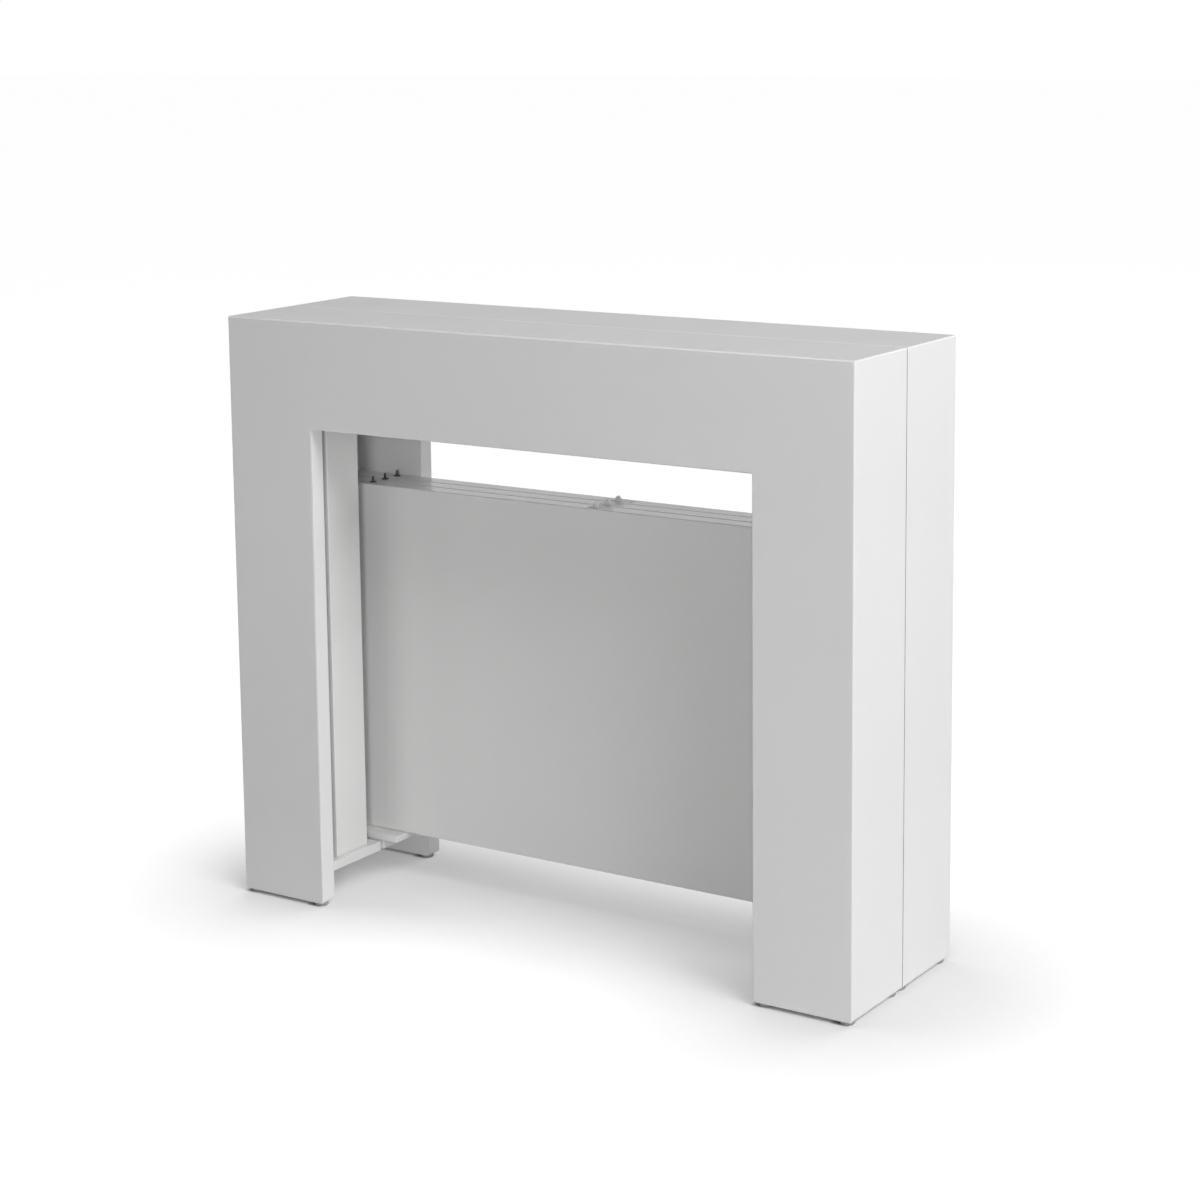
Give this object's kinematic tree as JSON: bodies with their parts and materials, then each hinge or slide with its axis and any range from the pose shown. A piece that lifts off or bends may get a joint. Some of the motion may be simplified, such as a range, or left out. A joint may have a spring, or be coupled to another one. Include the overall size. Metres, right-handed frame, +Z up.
{
  "type": "extendable console table",
  "caption": "White lacquered console table of two inverted-U portals that slide apart on telescopic rails, with spare leaves stored upright between its legs.",
  "frame": {"origin": "on the floor, under the middle of the closed table", "axes": "+X to the right along the width, +Y to the back, away from the portal that pulls out, +Z up"},
  "size_m": [0.89, 0.254, 0.76],
  "materials": {
    "lacquer": "white satin lacquer on board",
    "leaf_lacquer": "white satin lacquer on board",
    "board": "white foil on board",
    "aluminium": "drawn, natural",
    "steel": "zinc plated",
    "blackened_steel": "blackened, matt",
    "nylon": "grey nylon"
  },
  "bodies": {
    "rear_portal": {"rear_back_panel": "lacquer", "rear_left_side_panel": "lacquer", "rear_right_side_panel": "lacquer", "rear_top_panel": "lacquer", "rear_left_bottom_board": "board", "rear_right_bottom_board": "board", "left_leaf_rest": "board", "right_leaf_rest": "board", "rear_left_corner_glide": "nylon", "rear_left_inner_glide": "nylon", "rear_left_seam_glide": "nylon", "rear_right_corner_glide": "nylon", "rear_right_inner_glide": "nylon", "rear_right_seam_glide": "nylon", "left_rail_fixed_member": "aluminium", "right_rail_fixed_member": "aluminium"},
    "front_portal": {"front_face_panel": "lacquer", "front_left_side_panel": "lacquer", "front_right_side_panel": "lacquer", "front_top_panel": "lacquer", "front_left_bottom_board": "board", "front_right_bottom_board": "board", "front_left_cheek": "board", "front_right_cheek": "board", "front_left_corner_glide": "nylon", "front_left_inner_glide": "nylon", "front_left_seam_glide": "nylon", "front_right_corner_glide": "nylon", "front_right_inner_glide": "nylon", "front_right_seam_glide": "nylon", "left_rail_moving_member": "aluminium", "right_rail_moving_member": "aluminium"},
    "rail_stage_1": {"left_rail_member_1": "aluminium", "right_rail_member_1": "aluminium"},
    "rail_stage_2": {"left_rail_member_2": "aluminium", "right_rail_member_2": "aluminium"},
    "rail_stage_3": {"left_rail_member_3": "aluminium", "right_rail_member_3": "aluminium"},
    "rail_stage_4": {"left_rail_member_4": "aluminium", "right_rail_member_4": "aluminium"},
    "rail_stage_5": {"left_rail_member_5": "aluminium", "right_rail_member_5": "aluminium"},
    "rail_stage_6": {"left_rail_member_6": "aluminium", "right_rail_member_6": "aluminium"},
    "rail_stage_7": {"left_rail_member_7": "aluminium", "right_rail_member_7": "aluminium"},
    "rail_stage_8": {"left_rail_member_8": "aluminium", "right_rail_member_8": "aluminium"},
    "leaf_1": {"leaf_1": "leaf_lacquer", "leaf_1_left_pin": "blackened_steel", "leaf_1_right_pin": "blackened_steel", "leaf_1_catch": "steel"},
    "leaf_2": {"leaf_2": "leaf_lacquer", "leaf_2_left_pin": "blackened_steel", "leaf_2_right_pin": "blackened_steel", "leaf_2_catch": "steel"},
    "leaf_3": {"leaf_3": "leaf_lacquer", "leaf_3_left_pin": "blackened_steel", "leaf_3_right_pin": "blackened_steel", "leaf_3_catch": "steel"}
  },
  "joints": [
    {"name": "front_extension", "type": "slide", "parent": "rear_portal", "child": "front_portal", "axis": [0, -1, 0], "range_m": [0, 1.3932]},
    {"name": "rail_stage_1_slide", "type": "slide", "parent": "rear_portal", "child": "rail_stage_1", "axis": [0, -1, 0], "range_m": [0, 0.1548]},
    {"name": "rail_stage_2_slide", "type": "slide", "parent": "rear_portal", "child": "rail_stage_2", "axis": [0, -1, 0], "range_m": [0, 0.3096]},
    {"name": "rail_stage_3_slide", "type": "slide", "parent": "rear_portal", "child": "rail_stage_3", "axis": [0, -1, 0], "range_m": [0, 0.4644]},
    {"name": "rail_stage_4_slide", "type": "slide", "parent": "rear_portal", "child": "rail_stage_4", "axis": [0, -1, 0], "range_m": [0, 0.6192]},
    {"name": "rail_stage_5_slide", "type": "slide", "parent": "rear_portal", "child": "rail_stage_5", "axis": [0, -1, 0], "range_m": [0, 0.774]},
    {"name": "rail_stage_6_slide", "type": "slide", "parent": "rear_portal", "child": "rail_stage_6", "axis": [0, -1, 0], "range_m": [0, 0.9288]},
    {"name": "rail_stage_7_slide", "type": "slide", "parent": "rear_portal", "child": "rail_stage_7", "axis": [0, -1, 0], "range_m": [0, 1.0836]},
    {"name": "rail_stage_8_slide", "type": "slide", "parent": "rear_portal", "child": "rail_stage_8", "axis": [0, -1, 0], "range_m": [0, 1.2384]},
    {"name": "leaf_1_lift", "type": "slide", "parent": "rear_portal", "child": "leaf_1", "axis": [0, 0, 1], "range_m": [0, 0.14]},
    {"name": "leaf_2_lift", "type": "slide", "parent": "rear_portal", "child": "leaf_2", "axis": [0, 0, 1], "range_m": [0, 0.14]},
    {"name": "leaf_3_lift", "type": "slide", "parent": "rear_portal", "child": "leaf_3", "axis": [0, 0, 1], "range_m": [0, 0.14]}
  ],
  "couplings": [
    {"joint": "rail_stage_1_slide", "follows": "front_extension", "ratio": 0.11111},
    {"joint": "rail_stage_2_slide", "follows": "front_extension", "ratio": 0.22222},
    {"joint": "rail_stage_3_slide", "follows": "front_extension", "ratio": 0.33333},
    {"joint": "rail_stage_4_slide", "follows": "front_extension", "ratio": 0.44444},
    {"joint": "rail_stage_5_slide", "follows": "front_extension", "ratio": 0.55556},
    {"joint": "rail_stage_6_slide", "follows": "front_extension", "ratio": 0.66667},
    {"joint": "rail_stage_7_slide", "follows": "front_extension", "ratio": 0.77778},
    {"joint": "rail_stage_8_slide", "follows": "front_extension", "ratio": 0.88889}
  ]
}
